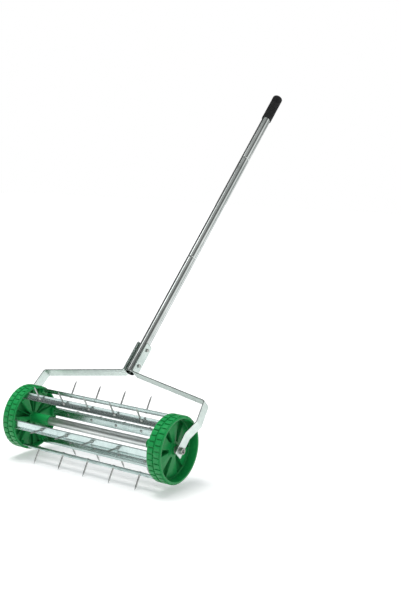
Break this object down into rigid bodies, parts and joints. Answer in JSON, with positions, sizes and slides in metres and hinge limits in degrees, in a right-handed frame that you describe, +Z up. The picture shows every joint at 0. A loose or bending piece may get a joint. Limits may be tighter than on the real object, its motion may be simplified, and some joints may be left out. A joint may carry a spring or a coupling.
{
  "type": "manual lawn scarifier",
  "caption": "Push-along lawn scarifier: a drum of spiked slats turns between two wheels under a bent steel yoke with a long sectional handle.",
  "frame": {"origin": "middle of the whole tool's box in X and Y, on the ground under the lowest tine tips", "axes": "X along the drum axis, towards the wheel nearest the camera; front is -Y, the handle leans back towards +Y; +Z up"},
  "size_m": [0.6398, 1.1824, 1.1815],
  "materials": {
    "galvanised_strip": "pale galvanised sheet steel, softly shiny with a faint green-grey cast",
    "plated_tube": "bright zinc-plated drawn tube with long sharp reflections",
    "plated_pin": "zinc-plated pins, satin",
    "zinc_fastener": "dull zinc-plated nuts, bolts and washers",
    "green_plastic": "bright green moulded plastic, semi-gloss",
    "black_rubber": "matt black soft grip"
  },
  "bodies": {
    "handle_frame": {"handle_tube_lower": "plated_tube", "handle_tube_middle": "plated_tube", "handle_tube_upper": "plated_tube", "handle_grip": "black_rubber", "yoke_arm_left": "galvanised_strip", "yoke_arm_right": "galvanised_strip", "clamp_bolt_lower": "zinc_fastener", "clamp_bolt_upper": "zinc_fastener", "clamp_nut_lower": "zinc_fastener", "clamp_nut_upper": "zinc_fastener", "axle_rod": "plated_tube", "axle_washer_left": "zinc_fastener", "axle_washer_right": "zinc_fastener", "axle_jam_nut_left": "zinc_fastener", "axle_jam_nut_right": "zinc_fastener", "axle_nut_left": "zinc_fastener", "axle_nut_right": "zinc_fastener"},
    "drum": {"wheel_left": "green_plastic", "wheel_right": "green_plastic", "centre_tube": "plated_tube", "slat_top_rear": "galvanised_strip", "slat_top_front": "galvanised_strip", "slat_front": "galvanised_strip", "slat_bottom_front": "galvanised_strip", "slat_bottom_rear": "galvanised_strip", "slat_rear": "galvanised_strip", "tine_top_rear_1": "plated_pin", "tine_top_rear_2": "plated_pin", "tine_top_rear_3": "plated_pin", "tine_top_rear_4": "plated_pin", "tine_top_front_1": "plated_pin", "tine_top_front_2": "plated_pin", "tine_top_front_3": "plated_pin", "tine_top_front_4": "plated_pin", "tine_top_front_5": "plated_pin", "tine_front_1": "plated_pin", "tine_front_2": "plated_pin", "tine_front_3": "plated_pin", "tine_front_4": "plated_pin", "tine_bottom_front_1": "plated_pin", "tine_bottom_front_2": "plated_pin", "tine_bottom_front_3": "plated_pin", "tine_bottom_front_4": "plated_pin", "tine_bottom_front_5": "plated_pin", "tine_bottom_rear_1": "plated_pin", "tine_bottom_rear_2": "plated_pin", "tine_bottom_rear_3": "plated_pin", "tine_bottom_rear_4": "plated_pin", "tine_rear_1": "plated_pin", "tine_rear_2": "plated_pin", "tine_rear_3": "plated_pin", "tine_rear_4": "plated_pin", "tine_rear_5": "plated_pin"}
  },
  "joints": [
    {"name": "drum_spin", "type": "hinge", "parent": "handle_frame", "child": "drum", "pos_m": [0, -0.45118, 0.12124], "axis": [1, 0, 0], "continuous": true}
  ]
}
